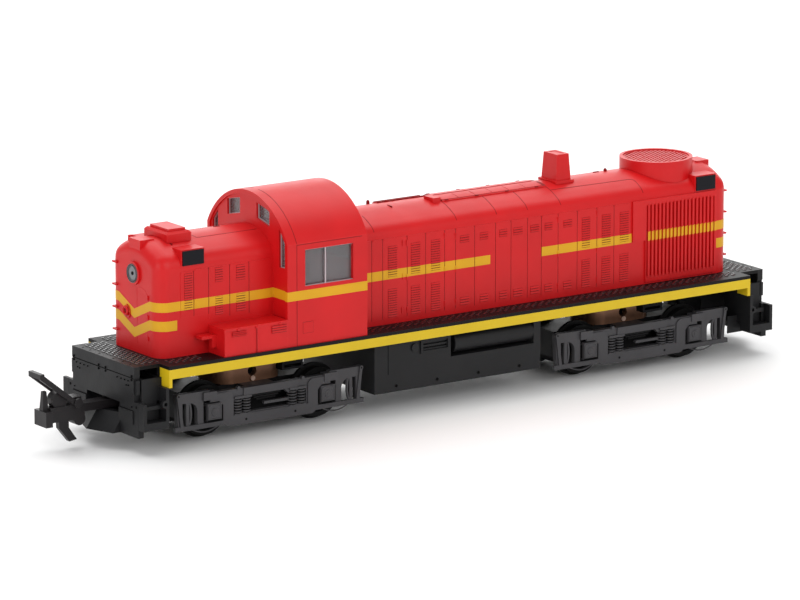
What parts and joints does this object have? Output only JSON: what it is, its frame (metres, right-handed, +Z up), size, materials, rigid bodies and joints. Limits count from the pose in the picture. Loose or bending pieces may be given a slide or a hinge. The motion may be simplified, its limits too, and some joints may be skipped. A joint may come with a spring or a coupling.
{
  "type": "model diesel locomotive",
  "caption": "Model road-switcher diesel locomotive with short and long hoods, an arched cab, swivelling trucks with turning wheelsets and a loop coupler.",
  "frame": {"origin": "on the floor under the wheel flanges, at the middle of the model's length and width", "axes": "+X along the model towards the short hood and its coupler, +Y to its left, +Z up"},
  "size_m": [0.2042, 0.035, 0.0546],
  "materials": {
    "red_paint": "satin red moulded plastic",
    "yellow_paint": "satin yellow paint",
    "black_plastic": "matt black moulded plastic",
    "grey_plastic": "matt dark grey moulded plastic",
    "truck_grey": "matt dark grey moulded plastic",
    "chassis_metal": "blackened die casting",
    "copper": "copper-coloured contact metal",
    "wheel_metal": "turned metal",
    "lamp": "grey lamp",
    "board_black": "blank black board",
    "window_glass": "clear moulded glazing",
    "coupler_black": "matt black plastic"
  },
  "bodies": {
    "locomotive": {"walkway_deck": "black_plastic", "side_sills": "yellow_paint", "main_beam": "chassis_metal", "fuel_tank": "grey_plastic", "front_pilot": "grey_plastic", "rear_pilot": "grey_plastic", "front_steps": "grey_plastic", "rear_steps": "grey_plastic", "short_hood": "red_paint", "long_hood": "red_paint", "roof_hatch": "red_paint", "exhaust_stack": "red_paint", "fan_drum": "red_paint", "fan_grille": "red_paint", "front_headlight": "lamp", "rear_headlight": "lamp", "front_grab_irons": "red_paint", "rear_grab_irons": "red_paint", "front_number_boards": "board_black", "rear_number_boards": "board_black", "radiator_fins": "red_paint", "cab_roof": "red_paint", "cab_sides": "red_paint", "cab_front": "red_paint", "cab_rear": "red_paint", "cab_glazing": "window_glass", "battery_boxes": "red_paint", "motor_block": "chassis_metal", "front_coupler_box": "black_plastic", "rear_coupler_box": "black_plastic"},
    "front_truck": {"front_truck_gearcase": "black_plastic", "front_truck_turret": "copper", "front_truck_sideframes": "truck_grey"},
    "front_truck_axle_1": {"front_truck_wheelset_1": "wheel_metal"},
    "front_truck_axle_2": {"front_truck_wheelset_2": "wheel_metal"},
    "rear_truck": {"rear_truck_gearcase": "black_plastic", "rear_truck_turret": "copper", "rear_truck_sideframes": "truck_grey"},
    "rear_truck_axle_1": {"rear_truck_wheelset_1": "wheel_metal"},
    "rear_truck_axle_2": {"rear_truck_wheelset_2": "wheel_metal"},
    "coupler": {"coupler_shank": "coupler_black"},
    "coupler_bail": {"coupler_loop": "coupler_black"}
  },
  "joints": [
    {"name": "front_truck_swivel", "type": "hinge", "parent": "locomotive", "child": "front_truck", "pos_m": [0.04685, 0, 0.015], "axis": [0, 0, 1], "range_deg": [-10, 10]},
    {"name": "front_truck_axle_1_spin", "type": "hinge", "parent": "front_truck", "child": "front_truck_axle_1", "pos_m": [0.06255, 0, 0.00665], "axis": [0, 1, 0], "continuous": true},
    {"name": "front_truck_axle_2_spin", "type": "hinge", "parent": "front_truck", "child": "front_truck_axle_2", "pos_m": [0.03115, 0, 0.00665], "axis": [0, 1, 0], "continuous": true},
    {"name": "rear_truck_swivel", "type": "hinge", "parent": "locomotive", "child": "rear_truck", "pos_m": [-0.06045, 0, 0.015], "axis": [0, 0, 1], "range_deg": [-10, 10]},
    {"name": "rear_truck_axle_1_spin", "type": "hinge", "parent": "rear_truck", "child": "rear_truck_axle_1", "pos_m": [-0.04475, 0, 0.00665], "axis": [0, 1, 0], "continuous": true},
    {"name": "rear_truck_axle_2_spin", "type": "hinge", "parent": "rear_truck", "child": "rear_truck_axle_2", "pos_m": [-0.07615, 0, 0.00665], "axis": [0, 1, 0], "continuous": true},
    {"name": "coupler_swing", "type": "hinge", "parent": "locomotive", "child": "coupler", "pos_m": [0.0753, 0, 0.009], "axis": [0, 0, 1], "range_deg": [-6, 6]},
    {"name": "coupler_bail_lift", "type": "hinge", "parent": "coupler", "child": "coupler_bail", "pos_m": [0.0921, 0, 0.011], "axis": [0, -1, 0], "range_deg": [0, 20]}
  ]
}
